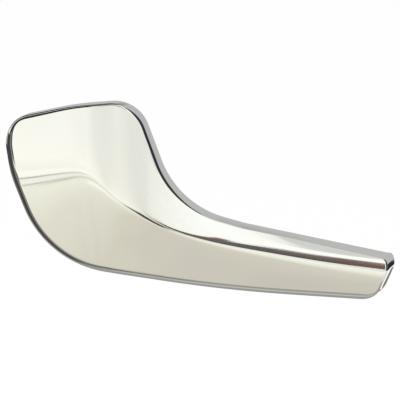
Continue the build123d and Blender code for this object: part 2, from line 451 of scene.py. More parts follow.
# %% [markdown]
# ## The rounded edge
# Where the face turns into the side wall, a ball rolled along the inside of the corner would touch both.
# Its centre line gives the rounding, and the line where it touches the face is the border of the grid. A
# Bevel modifier rounds a mesh too, but its edge would not follow the outline exactly. The edge is crisp
# along the top of the pull, a little rounder at the neck and over the head, and softest below and in
# front, where a hand meets it, so the ball's radius changes along the outline.

# %% Roll a ball along the edge
CRISP_EDGE, HEAD_EDGE, NECK_EDGE, SOFT_EDGE = 0.7, 1.3, 1.2, 3.3
HEAD_FADE_X, NECK_FADE_X = (-12.0, 16.0), (45.0, 60.0)
NECK_FACING, SOFT_FACING = (0.3, 0.8), (-0.3, 0.7)  # how far the edge faces the tip, or the soft side
SOFT_SIDE = np.array((-0.7, -0.71))
BALL_PASSES = 8


def smooth(value, low, high):
    """0 below low, 1 above high, smooth between them."""
    t = np.clip((value - low) / (high - low), 0, 1)
    return t * t * (3 - 2 * t)


def roll_ball(points, radius, depth):
    """Touch points on the face moved in by depth, the normals there and the ball's centres."""
    home = points - radius[:, None] * ring_normals
    touch = home.copy()
    for attempt in range(BALL_PASSES):
        normal = front_normal(touch[:, 0], touch[:, 1])
        touch = home + radius[:, None] * normal[:, [0, 2]]
    normal = front_normal(touch[:, 0], touch[:, 1])
    on_face = np.c_[touch[:, 0], front_y(touch[:, 0], touch[:, 1]) + depth, touch[:, 1]]
    return on_face, normal, on_face - radius[:, None] * normal


over_head = 1 - smooth(ring_points[:, 0], *HEAD_FADE_X)
at_neck = smooth(ring_normals[:, 0], *NECK_FACING) * (1 - smooth(ring_points[:, 0], *NECK_FADE_X))
edge_radius = CRISP_EDGE + (HEAD_EDGE - CRISP_EDGE) * over_head + (NECK_EDGE - CRISP_EDGE) * at_neck
edge_radius += (SOFT_EDGE - edge_radius) * smooth(ring_normals @ SOFT_SIDE, *SOFT_FACING)
face_border, face_border_normal, edge_centres = roll_ball(ring_points, edge_radius, 0.0)
print("edge radius in mm:", round(edge_radius.min(), 2), "to", round(edge_radius.max(), 2))

# %% Fill the border with a Coons patch
END_BEND = 40  # how sharply the ridge row bends at its ends to meet the border


def coons(border):
    """Grid of X and Z inside the border, with the ridge as one of its rows."""
    grid = np.zeros((COLUMNS + 1, ROWS + 1, 2))
    for (i, j), place in zip(ring_cells, border[:, [0, 2]]):
        grid[i, j] = place
    start, end = grid[0, LOWER_ROWS], grid[COLUMNS, LOWER_ROWS]
    ridge_x = start[0] + (end[0] - start[0]) * across
    ridge_z = ridge_at(ridge_x)[0]
    first_gap, last_gap = start[1] - ridge_z[0], end[1] - ridge_z[-1]
    ridge_z += first_gap * (1 - across) ** END_BEND + last_gap * across**END_BEND
    ridge = np.c_[ridge_x, ridge_z]
    u = across[:, None, None]
    for share, rows, edge in (
        (lower_share, range(LOWER_ROWS + 1), 0),
        (upper_share, range(LOWER_ROWS, ROWS + 1), ROWS),
    ):
        v = share[None, :, None]
        rows = list(rows)
        outer, near, far = grid[:, edge].copy(), grid[0, rows].copy(), grid[COLUMNS, rows].copy()
        sides = (1 - u) * near[None] + u * far[None]
        runs = (1 - v) * ridge[:, None] + v * outer[:, None]
        corners = (1 - u) * ((1 - v) * start + v * outer[0]) + u * ((1 - v) * end + v * outer[-1])
        grid[:, rows] = sides + runs - corners
    return grid


face_grid = coons(face_border)
print("face grid:", face_grid.shape)

# %% [markdown]
# ## The shell
# The front face, its rounded edge, the side wall, the open rim, the inner wall and the inner skin are one
# closed surface. It is knitted ring by ring from the border of the front grid to the border of the inner
# grid. A Solidify modifier would give a wall too, but not a flat rim with its own small rounding, nor a
# wall that thins at the tip.

# %% Inner wall and inner skin
INNER_RADIUS, TIP_WALL, TIP_LENGTH = 0.5, 1.4, 12.0
inner_radius = np.full(len(ring_points), INNER_RADIUS)
near_tip = smooth(ring_points[:, 0], PULL_REACH - TIP_LENGTH, PULL_REACH - TIP_LENGTH / 2)
wall = SKIN + (TIP_WALL - SKIN) * near_tip  # thinner where the corners of the tip are tighter than the skin
inner_outline = ring_points - wall[:, None] * ring_normals
inner_border, inner_border_normal, inner_centres = roll_ball(inner_outline, inner_radius, SKIN)
inner_grid = coons(inner_border)
print("wall in mm:", round(wall.min(), 2), "to", round(wall.max(), 2))

# %% Knit the shell
RIM_RADIUS, RIM_DRAFT, TIP_FLARE, TIP_FACING = 0.45, 0.14, 0.45, (0.3, 0.7)
EDGE_STEPS, RIM_STEPS, INNER_STEPS, WALL_STEPS = 10, 4, 4, 8
POLISHED, HALF_POLISHED, DULL = 0.0, 0.4, 1.0  # values of the attribute called inside


def turned_between(start, end, share):
    """Unit vectors turned from start towards end by a share of the angle between them."""
    angle = np.arccos(np.clip((start * end).sum(1), -1, 1))[:, None]
    safe = np.maximum(np.sin(angle), 1e-6)
    return (np.sin((1 - share) * angle) * start + np.sin(share * angle) * end) / safe


def at_depth(inset, y):
    """Border points moved in by inset, at the given depth."""
    plan = ring_points - np.reshape(inset, (-1, 1)) * ring_normals
    return np.c_[plan[:, 0], np.broadcast_to(y, len(plan)), plan[:, 1]]


backward = np.tile((0.0, 1.0, 0.0), (len(ring_points), 1))
rings = []  # positions, normals and polish
for k in range(1, EDGE_STEPS + 1):
    ray = turned_between(face_border_normal, ring_outward, k / EDGE_STEPS)
    rings.append((edge_centres + edge_radius[:, None] * ray, ray, POLISHED))
rim_start = RIM_Y - RIM_RADIUS
wall_depth = rim_start - edge_centres[:, 1]
at_tip = near_tip * smooth(ring_normals[:, 0], *TIP_FACING)
rim_draft = RIM_DRAFT - (RIM_DRAFT + TIP_FLARE) * at_tip  # draws in towards the rim, but flares at the tip
for k in range(1, WALL_STEPS + 1):
    share = k / WALL_STEPS
    lean = 2 * rim_draft * share / wall_depth
    leaning = ring_outward + lean[:, None] * backward
    leaning /= np.linalg.norm(leaning, axis=1)[:, None]
    depth = edge_centres[:, 1] + wall_depth * share
    rings.append((at_depth(rim_draft * share**2, depth), leaning, POLISHED))
for inset, first, second, start, polish in (
    (RIM_RADIUS + rim_draft, leaning, backward, 1, HALF_POLISHED),
    (wall - RIM_RADIUS, backward, -ring_outward, 0, DULL),
):
    centres = at_depth(inset, rim_start)
    for k in range(start, RIM_STEPS + 1):
        ray = turned_between(first, second, k / RIM_STEPS)
        rings.append((centres + RIM_RADIUS * ray, ray, polish))
for k in range(1, WALL_STEPS + 1):
    depth = rim_start + (inner_centres[:, 1] - rim_start) * k / WALL_STEPS
    rings.append((at_depth(wall, depth), -ring_outward, DULL))
for k in range(1, INNER_STEPS):
    ray = turned_between(ring_outward, inner_border_normal, k / INNER_STEPS)
    rings.append((inner_centres + INNER_RADIUS * ray, -ray, DULL))
print("rings:", len(rings))

# %% Turn the rings into one mesh
grid_size = (COLUMNS + 1) * (ROWS + 1)


def grid_layer(grid, depth):
    """Points and normals of a grid laid on the front face, moved in by depth."""
    x, z = grid.reshape(-1, 2).T
    return np.c_[x, front_y(x, z) + depth, z], front_normal(x, z)


def grid_index(i, j):
    """Number of the grid point in column i and row j."""
    return i * (ROWS + 1) + j


outer_points, outer_normals = grid_layer(face_grid, 0.0)
inner_points, inner_normals = grid_layer(inner_grid, SKIN)
shell_points = np.vstack([outer_points, *(ring[0] for ring in rings), inner_points])
shell_normals = np.vstack([outer_normals, *(ring[1] for ring in rings), -inner_normals])
ring_size = len(ring_cells)
ring_polish = np.repeat([ring[2] for ring in rings], ring_size)
shell_inside = np.r_[np.full(grid_size, POLISHED), ring_polish, np.full(grid_size, DULL)]
inner_start = grid_size + len(rings) * ring_size
border_index = np.array([grid_index(i, j) for i, j in ring_cells])
loops = [border_index] + [grid_size + k * ring_size + np.arange(ring_size) for k in range(len(rings))]
loops.append(inner_start + border_index)
shell_faces = []
for near, far in zip(loops, loops[1:]):
    shell_faces.append(np.c_[near, np.roll(near, -1), np.roll(far, -1), far])
i, j = (index.ravel() for index in np.meshgrid(np.arange(COLUMNS), np.arange(ROWS), indexing="ij"))
quads = np.c_[grid_index(i, j), grid_index(i + 1, j), grid_index(i + 1, j + 1), grid_index(i, j + 1)]
shell_faces = np.vstack([*shell_faces, quads, inner_start + quads[:, ::-1]])


def mesh_object(name, points, faces, material):
    """Object whose mesh is in place, in metres, shaded smooth."""
    mesh = bpy.data.meshes.new(name)
    mesh.from_pydata((np.asarray(points) * MM).tolist(), [], np.asarray(faces).tolist())
    mesh.validate()
    mesh.shade_smooth()
    mesh.materials.append(material)
    return put_in_scene(name, mesh)


def store(mesh, name, values):
    """Keep one number for each point of a mesh as a named attribute."""
    mesh.attributes.new(name, "FLOAT", "POINT").data.foreach_set("value", values.astype(np.float32))


shell = mesh_object("lever_shell", shell_points, shell_faces, chrome)
store(shell.data, "inside", shell_inside)
shell.data.normals_split_custom_set_from_vertices(shell_normals.tolist())
print("shell faces:", len(shell.data.polygons))

# %% [markdown]
# ## Ribs inside the shell
# A moulded shell is stiffened by thin ribs that stand on the inner skin. An Array modifier could repeat
# one rib, but each has its own length and foot, so Geometry Nodes make them: each rib starts as a line
# along its free edge, from wall to wall, and the tree drops a sheet from the line down into the skin.
# Solidify gives the thickness and Bevel breaks the edges. The ends and the foot of a rib lie inside the
# wall, as they do in the moulding.

# %% Lines along the free edges of the ribs
RIB, RIB_SETBACK, RIB_PITCH, FIRST_RIB_X, LAST_RIB_GAP = 1.4, 3.0, 13.0, 48.0, 12.0
CROSS_RIB_Z = -12.0  # a level inside the pull, from which each cross rib runs up and down
SPINE_RIB_Z, SPINE_RIB_FALL = -11.5, math.radians(4.5)
WIRE, COIL_PITCH, COIL_TURNS, COIL_END_GAP = 1.2, 1.25, 5, 0.8
LUG, LOWER_LUG_Z = 4.0, 0.5
UPPER_LUG_Z = LOWER_LUG_Z + LUG + COIL_PITCH * COIL_TURNS + WIRE + 2 * COIL_END_GAP
wall_points, wall_normals = on_outline(np.arange(0.0, perimeter, FINE_STEP))
wall_middle = wall_points - SKIN / 2 * wall_normals


def between_walls(x, z, angle):
    """Points 1 mm apart on the line through x and z, from wall to wall."""
    along = np.array((math.cos(angle), math.sin(angle)))
    side = np.array((-math.sin(angle), math.cos(angle)))
    from_line = (wall_middle - (x, z)) @ side
    crossing = np.nonzero(from_line[:-1] * from_line[1:] <= 0)[0]
    reach = (wall_middle[crossing] - (x, z)) @ along
    first, last = reach[reach < 0].max(), reach[reach > 0].min()
    return np.array((x, z)) + np.linspace(first, last, int(last - first) + 2)[:, None] * along


rib_span = PULL_REACH - LAST_RIB_GAP - FIRST_RIB_X
rib_count = round(rib_span / RIB_PITCH)
rib_places = [FIRST_RIB_X + rib_span * k / rib_count for k in range(rib_count + 1)]
rib_lines = [between_walls(x, CROSS_RIB_Z, math.pi / 2) for x in rib_places]
rib_lines += [between_walls(0.0, z + LUG / 2, 0.0) for z in (LOWER_LUG_Z, UPPER_LUG_Z)]
spine = between_walls(FIRST_RIB_X, SPINE_RIB_Z, -SPINE_RIB_FALL)
rib_lines.append(spine[spine[:, 0] >= FIRST_RIB_X])
print("ribs:", len(rib_lines))

# %% Drop a sheet from each line with Geometry Nodes
FOOT_IN_SKIN, RIB_ROUNDING, RIB_ROUND_STEPS, RIB_SHARP_ANGLE = 0.9, 0.25, 2, math.radians(50)


def socket(tree, name, kind, in_out="INPUT"):
    """New input or output of a node group."""
    return tree.interface.new_socket(name=name, in_out=in_out, socket_type=kind)


def rib_tree():
    """Node group that drops a sheet from each line into the skin, and its input for the foot."""
    tree = bpy.data.node_groups.new("ribs_on_skin", "GeometryNodeTree")
    socket(tree, "Lines", "NodeSocketGeometry")
    foot = socket(tree, "Foot in skin", "NodeSocketFloat")
    socket(tree, "Ribs", "NodeSocketGeometry", "OUTPUT")
    bench = Bench(tree)
    lines, sink = bench.node("NodeGroupInput", out=("Lines", "Foot in skin"))
    kind = "GeometryNodeInputNamedAttribute"
    drop = bench.node(kind, {"data_type": "FLOAT"}, {"Name": "drop"}, out="Attribute")
    offset = bench.node("ShaderNodeCombineXYZ", {}, {"Y": -1.0 * (drop + sink)})
    sheets = bench.node("GeometryNodeExtrudeMesh", {"mode": "EDGES"}, {"Mesh": lines, "Offset": offset})
    sheets = bench.node("GeometryNodeRealizeInstances", {}, {"Geometry": sheets})
    sheets = bench.node("GeometryNodeSetMaterial", {}, {"Geometry": sheets, "Material": chrome})
    bench.node("NodeGroupOutput", {}, {"Ribs": sheets})
    return tree, foot


def settle(piece):
    """Turn a piece with modifiers into a plain mesh."""
    shown = piece.evaluated_get(bpy.context.evaluated_depsgraph_get())
    mesh = bpy.data.meshes.new_from_object(shown)
    piece.modifiers.clear()
    piece.data = mesh


free_edge_y = RIM_Y - RIB_SETBACK
line_points = np.vstack(rib_lines)
line_edges, start = [], 0
for line in rib_lines:
    line_edges += [(k, k + 1) for k in range(start, start + len(line) - 1)]
    start += len(line)
rib_mesh = bpy.data.meshes.new("lever_ribs")
free_edges = np.c_[line_points[:, 0], np.full(len(line_points), free_edge_y), line_points[:, 1]]
rib_mesh.from_pydata((free_edges * MM).tolist(), line_edges, [])
rib_drop = free_edge_y - (front_y(*line_points.T) + SKIN)
store(rib_mesh, "drop", rib_drop * MM)
ribs = put_in_scene("lever_ribs", rib_mesh)
grow = ribs.modifiers.new("ribs", "NODES")
grow.node_group, foot = rib_tree()
grow[foot.identifier] = FOOT_IN_SKIN * MM
thick = ribs.modifiers.new("thick", "SOLIDIFY")
thick.thickness, thick.offset = RIB * MM, 0.0
rounded_edges = ribs.modifiers.new("edges", "BEVEL")
rounded_edges.width, rounded_edges.segments = RIB_ROUNDING * MM, RIB_ROUND_STEPS
rounded_edges.angle_limit = RIB_SHARP_ANGLE
settle(ribs)
print("rib faces:", len(ribs.data.polygons))

# %% [markdown]
# ## Hinge lugs, cable arm and web
# Behind the head two lugs carry the pin. The lower one grows an arm with a round seat for the barrel on
# the end of the latch cable, with a slot on its forward side. A web joins the lugs. Cubes and cylinders
# could be joined with Booleans, but each of these is a flat plate, so it is drawn as a closed profile and
# filled as a flat curve, whose bevel rounds its edges in the same go.

# %% Profiles of the lugs
PIN_DIAMETER, BORE_CLEARANCE = 5.0, 0.05
LUG_RADIUS, LUG_ROOT_HALF, LUG_ROOT_Y = 5.0, 8.5, -12.7
ARM_END, ARM_RADIUS, SEAT_RADIUS, SLOT_HALF = np.array((5.0, 16.0)), 4.3, 2.5, 1.0
PIN_CENTRE = (0.0, 0.0)
ARC_STEP = 6  # degrees


def on_circle(centre, radius, degrees):
    """Point of a circle at an angle in degrees."""
    angle = math.radians(degrees)
    return (centre[0] + radius * math.cos(angle), centre[1] + radius * math.sin(angle))


def arc(centre, radius, first, last):
    """Points on an arc between two angles in degrees."""
    count = max(3, int(abs(last - first) / ARC_STEP))
    return [on_circle(centre, radius, degrees) for degrees in np.linspace(first, last, count)]


root_angle = math.degrees(math.atan2(LUG_ROOT_Y, LUG_ROOT_HALF))
root_reach = math.hypot(LUG_ROOT_Y, LUG_ROOT_HALF)
lug_touch = root_angle + math.degrees(math.acos(LUG_RADIUS / root_reach))
root = [(-LUG_ROOT_HALF, LUG_ROOT_Y), (LUG_ROOT_HALF, LUG_ROOT_Y)]
bore = arc(PIN_CENTRE, PIN_DIAMETER / 2 + BORE_CLEARANCE, 360, ARC_STEP)
upper_profile = root + arc(PIN_CENTRE, LUG_RADIUS, lug_touch, 180 - lug_touch)

arm_angle = math.degrees(math.atan2(ARM_END[1], ARM_END[0]))
arm_spread = math.degrees(math.acos((LUG_RADIUS - ARM_RADIUS) / np.linalg.norm(ARM_END)))
arm_right, arm_left = arm_angle - arm_spread, arm_angle + arm_spread
left_normal = on_circle(PIN_CENTRE, 1.0, arm_left)
lip = math.degrees(math.asin(SLOT_HALF / SEAT_RADIUS))
meet = (lug_touch + arm_right) / 2
meet_reach = LUG_RADIUS / math.cos(math.radians(lug_touch - meet))


def on_left_edge(y):
    """Point of the arm's forward edge at the given depth."""
    return ((LUG_RADIUS - left_normal[1] * y) / left_normal[0], y)


lower_profile = (
    root + [on_circle(PIN_CENTRE, meet_reach, meet)] + arc(ARM_END, ARM_RADIUS, arm_right, arm_left)
    + [on_left_edge(ARM_END[1] + SLOT_HALF)] + arc(ARM_END, SEAT_RADIUS, 180 - lip, lip - 180)
    + [on_left_edge(ARM_END[1] - SLOT_HALF)] + arc(PIN_CENTRE, LUG_RADIUS, arm_left, 180 - lug_touch)
)
print("profile points:", len(upper_profile), len(lower_profile))

# %% Fill the profiles and add the web
PLATE_EDGE, PLATE_EDGE_STEPS, MERGE_DISTANCE = 0.3, 2, 0.002
COIL_CLEARANCE, WEB_GAP = 0.3, 1.5
WEB_X = PIN_DIAMETER / 2 + COIL_CLEARANCE + WIRE + WEB_GAP
WEB_BITE = 0.5  # how far the web reaches into the upper lug
FRAME_SHARP_ANGLE = math.radians(35)


def filled_plate(name, outlines, z, thickness):
    """Plate that stands on z, with rounded edges, as a plain closed mesh."""
    curve = bpy.data.curves.new(name, "CURVE")
    curve.dimensions, curve.fill_mode = "2D", "BOTH"
    curve.extrude = (thickness / 2 - PLATE_EDGE) * MM
    curve.bevel_depth, curve.bevel_resolution = PLATE_EDGE * MM, PLATE_EDGE_STEPS
    curve.offset = -PLATE_EDGE * MM  # the bevel then ends on the profile
    for outline in outlines:
        spline = curve.splines.new("POLY")
        spline.points.add(len(outline) - 1)
        for point, (x, y) in zip(spline.points, outline):
            point.co = (x * MM, y * MM, 0, 1)
        spline.use_cyclic_u = True
    drawn = put_in_scene(name, curve)
    mesh = bpy.data.meshes.new_from_object(drawn.evaluated_get(bpy.context.evaluated_depsgraph_get()))
    bpy.data.objects.remove(drawn)
    work = bmesh.new()
    work.from_mesh(mesh)
    bmesh.ops.remove_doubles(work, verts=work.verts, dist=MERGE_DISTANCE * MM)
    bmesh.ops.translate(work, verts=work.verts, vec=(0, 0, (z + thickness / 2) * MM))
    bmesh.ops.recalc_face_normals(work, faces=work.faces)
    work.to_mesh(mesh)
    work.free()
    return mesh


web_profile = [(WEB_X, LUG_ROOT_Y), (WEB_X + RIB, LUG_ROOT_Y), (WEB_X + RIB, RIM_Y), (WEB_X, RIM_Y)]
web_height = UPPER_LUG_Z + WEB_BITE - LOWER_LUG_Z
inner = bmesh.new()
inner.from_mesh(ribs.data)
for mesh in (
    filled_plate("lower_lug", [lower_profile, bore], LOWER_LUG_Z, LUG),
    filled_plate("upper_lug", [upper_profile, bore], UPPER_LUG_Z, LUG),
    filled_plate("web", [web_profile], LOWER_LUG_Z, web_height),
):
    inner.from_mesh(mesh)
frame_mesh = bpy.data.meshes.new("lever_inner_frame")
inner.to_mesh(frame_mesh)
inner.free()
frame_mesh.materials.append(chrome)
frame_mesh.shade_smooth()
frame_mesh.set_sharp_from_angle(angle=FRAME_SHARP_ANGLE)
store(frame_mesh, "inside", np.full(len(frame_mesh.vertices), DULL))
inner_frame = put_in_scene("lever_inner_frame", frame_mesh)
bpy.data.objects.remove(ribs)
print("inner frame faces:", len(frame_mesh.polygons))

# %% [markdown]
# ## The return spring
# About five close turns round the pin, a straight leg that bears on the door and a straight leg that
# presses on the inside of the skin. One rule draws all three: a point runs along the wire, the angle it
# has turned is held between the first and the last turn, and what is left of the way goes straight on
# along the tangent. A Screw modifier makes the turns but not the legs, so Geometry Nodes bend a straight
# mesh line with that rule and sweep a round section along it.

# %% Sizes of the spring
SKIN_LEG_X, SKIN_LEG_GAP, DOOR_LEG = -10.0, 0.15, 16.0
coil_radius = PIN_DIAMETER / 2 + COIL_CLEARANCE + WIRE / 2
coil_start_z = LOWER_LUG_Z + LUG + COIL_END_GAP + WIRE / 2
skin_x = np.array([SKIN_LEG_X])
skin_y = float(front_y(skin_x, ridge_at(skin_x)[0])[0]) + SKIN + SKIN_LEG_GAP + WIRE / 2
leg_reach = math.hypot(SKIN_LEG_X, skin_y)
leave = (math.atan2(skin_y, SKIN_LEG_X) - math.acos(coil_radius / leg_reach)) % (2 * math.pi)
coil_turn = 2 * math.pi * COIL_TURNS + leave - math.pi
skin_leg = math.sqrt(leg_reach**2 - coil_radius**2)
print("coil turns:", round(coil_turn / (2 * math.pi), 2), "skin leg in mm:", round(skin_leg, 1))

# %% Spring as Geometry Nodes
WIRE_POINTS, WIRE_SIDES, WIRE_SHARP_ANGLE = 700, 14, math.radians(60)


def spring_tree():
    """Node group that winds a wire into a coil with two straight legs, and its inputs."""
    tree = bpy.data.node_groups.new("torsion_spring", "GeometryNodeTree")
    names = ("Radius", "Pitch", "Turn", "Start leg", "End leg", "Wire", "Start height")
    inputs = {name: socket(tree, name, "NodeSocketFloat") for name in names}
    socket(tree, "Spring", "NodeSocketGeometry", "OUTPUT")
    bench = Bench(tree)
    radius, pitch, turn, start_leg, end_leg, thickness, height = bench.node("NodeGroupInput", out=names)
    line = bench.node("GeometryNodeMeshLine", {}, {"Count": WIRE_POINTS})
    share = bench.node("GeometryNodeInputIndex") / (WIRE_POINTS - 1.0)
    coil = radius * turn
    way = share * (start_leg + coil + end_leg) - start_leg
    held = way.math("MAXIMUM", 0.0).math("MINIMUM", coil)
    straight = way - held
    angle = held / radius + math.pi
    cosine, sine = angle.math("COSINE"), angle.math("SINE")
    climb = pitch / (2 * math.pi)
    place = bench.node("ShaderNodeCombineXYZ", {}, {
        "X": radius * cosine - straight * sine,
        "Y": radius * sine + straight * cosine,
        "Z": height + climb * (held + straight) / radius,
    })
    bent = bench.node("GeometryNodeSetPosition", {}, {"Geometry": line, "Position": place})
    path = bench.node("GeometryNodeMeshToCurve", {}, {"Mesh": bent})
    round_section = {"Resolution": WIRE_SIDES, "Radius": thickness / 2.0}
    section = bench.node("GeometryNodeCurvePrimitiveCircle", {}, round_section)
    swept = {"Curve": path, "Profile Curve": section, "Fill Caps": True}
    tube = bench.node("GeometryNodeCurveToMesh", {}, swept)
    tube = bench.node("GeometryNodeSetShadeSmooth", {}, {"Geometry": tube})
    tube = bench.node("GeometryNodeRealizeInstances", {}, {"Geometry": tube})
    tube = bench.node("GeometryNodeSetMaterial", {}, {"Geometry": tube, "Material": wire})
    bench.node("NodeGroupOutput", {}, {"Spring": tube})
    return tree, inputs


spring = put_in_scene("spring_coil", bpy.data.meshes.new("spring_coil"))
wind = spring.modifiers.new("wind", "NODES")
wind.node_group, spring_inputs = spring_tree()
spring_sizes = {
    "Radius": coil_radius * MM, "Pitch": COIL_PITCH * MM, "Turn": coil_turn, "Start leg": DOOR_LEG * MM,
    "End leg": skin_leg * MM, "Wire": WIRE * MM, "Start height": coil_start_z * MM,
}
for name, size in spring_sizes.items():
    wind[spring_inputs[name].identifier] = size
settle(spring)
spring.data.set_sharp_from_angle(angle=WIRE_SHARP_ANGLE)
print("spring faces:", len(spring.data.polygons))

# %% [markdown]
# ## Put the lever's pieces on its body
# The shell and its inner frame stand for the CAD lever and swing with it. The spring stands for its CAD
# solid, which is hidden; the new spring is fixed in place and rides on no body. The pin's own CAD shape
# is right, so it keeps it and only takes the turned steel.

# %% Ride, replace and give the pin its steel
for piece in (shell, inner_frame):
    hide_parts("lever")
    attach(piece, "lever")
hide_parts("return_spring")
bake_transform(spring)
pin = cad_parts["pivot_pin"]
for slot in pin.material_slots:
    slot.material = turned
print("pieces:", shell.name, inner_frame.name, spring.name, pin.name)

# %% [markdown]
# ## The studio
# Everything that chrome shows is the room around it. A light tent gives the broad white of the face:
# cream paper in front and below, darkened by painted shade under the part, a soft ceiling, grey cloth
# behind, and a dark gap where the lens looks in, which draws the line along the ridge. The tent is only
# there for reflections. The camera sees a plain white floor and background.

# %% White floor and background
FLOOR_Z = -95.0
FLOOR_REACH = 3.0  # metres
FLOOR_WHITE, PURE_WHITE = (0.86, 0.86, 0.85, 1.0), (1.0, 1.0, 1.0, 1.0)
FLOOR_GLOW = 0.9  # share of the floor that simply shows white; the rest takes the shadow


def seen_directly(bench):
    """1 for rays from the camera, from gloss or through glass, and 0 for light that is scattered on."""
    camera_ray, glossy, through = bench.node(
        "ShaderNodeLightPath", out=("Is Camera Ray", "Is Glossy Ray", "Is Transmission Ray")
    )
    return camera_ray.math("MAXIMUM", glossy).math("MAXIMUM", through)


def paper_white():
    """Floor that shows plain white and still takes a shadow."""
    material, bench = new_material("floor_white")
    paper = bench.node("ShaderNodeBsdfDiffuse", {}, {"Color": FLOOR_WHITE})
    glow = bench.node("ShaderNodeEmission", {}, {"Color": PURE_WHITE, "Strength": 1.0})
    share = FLOOR_GLOW * seen_directly(bench)
    mixed = bench.node("ShaderNodeMixShader", {}, {0: share, 1: paper, 2: glow})
    bench.node("ShaderNodeOutputMaterial", {}, {"Surface": mixed})
    return material


floor_mesh = bpy.data.meshes.new("floor")
square = ((-1, -1), (1, -1), (1, 1), (-1, 1))
floor_corners = [(x * FLOOR_REACH, y * FLOOR_REACH, FLOOR_Z * MM) for x, y in square]
floor_mesh.from_pydata(floor_corners, [], [(0, 1, 2, 3)])
floor_mesh.materials.append(paper_white())
floor = put_in_scene("floor", floor_mesh)
floor.visible_glossy = False  # the tent below stands in for it in the chrome

world = bpy.data.worlds.new("white_room")
bpy.context.scene.world = world
world.use_nodes = True
world.node_tree.nodes.clear()
sky = Bench(world.node_tree)
white_sky = sky.node("ShaderNodeBackground", {}, {"Color": PURE_WHITE, "Strength": 1.0})
sky.node("ShaderNodeOutputWorld", {}, {"Surface": white_sky})
print("floor at mm:", FLOOR_Z)

# %% [markdown]
# ## A tent painted by direction
# A photographer hangs paper and cloth round the part until the reflections look right. They could be
# modelled as many sheets, but then each has to be moved about until it shows in the right place. Here one
# large ball stands round the part, and its cloth is painted by direction: a ramp from low to high for the
# paper, with painted shade of the floor under the part in its lower tones, and over it cards, each with a
# turn and a height seen from the part. Some cards are painted shade and shadow too. So the direction that
# the chrome reflects leads to its card.

# %% Paper and cards of the tent
# Below -20 degrees the paper darkens down to about -60: painted shade of the floor under the part, on top
# of the paper's own cream.
PAPER_AND_SHADE_RAMP = [  # height in degrees seen from the part, colour of the front wall there
    (-88, (0.50, 0.50, 0.47)), (-72, (0.58, 0.58, 0.54)), (-62, (0.36, 0.355, 0.32)),
    (-50, (0.35, 0.34, 0.30)), (-42, (0.655, 0.63, 0.555)), (-32, (0.71, 0.685, 0.60)),
    (-25, (0.745, 0.725, 0.62)), (-22.5, (0.82, 0.81, 0.71)), (-20, (0.89, 0.89, 0.78)),
    (-16, (0.96, 0.965, 0.855)), (-10, (1.01, 1.02, 0.92)), (-3, (1.11, 1.11, 1.03)),
    (12, (0.96, 0.98, 0.92)), (18, (1.0, 1.03, 0.97)), (30, (1.06, 1.09, 1.02)),
    (43, (1.12, 1.14, 1.11)), (50, (1.12, 1.14, 1.11)), (55, (1.0, 1.03, 1.01)), (75, (0.95, 0.97, 0.95)),
]
UPRIGHT = (0.0, 0.0)
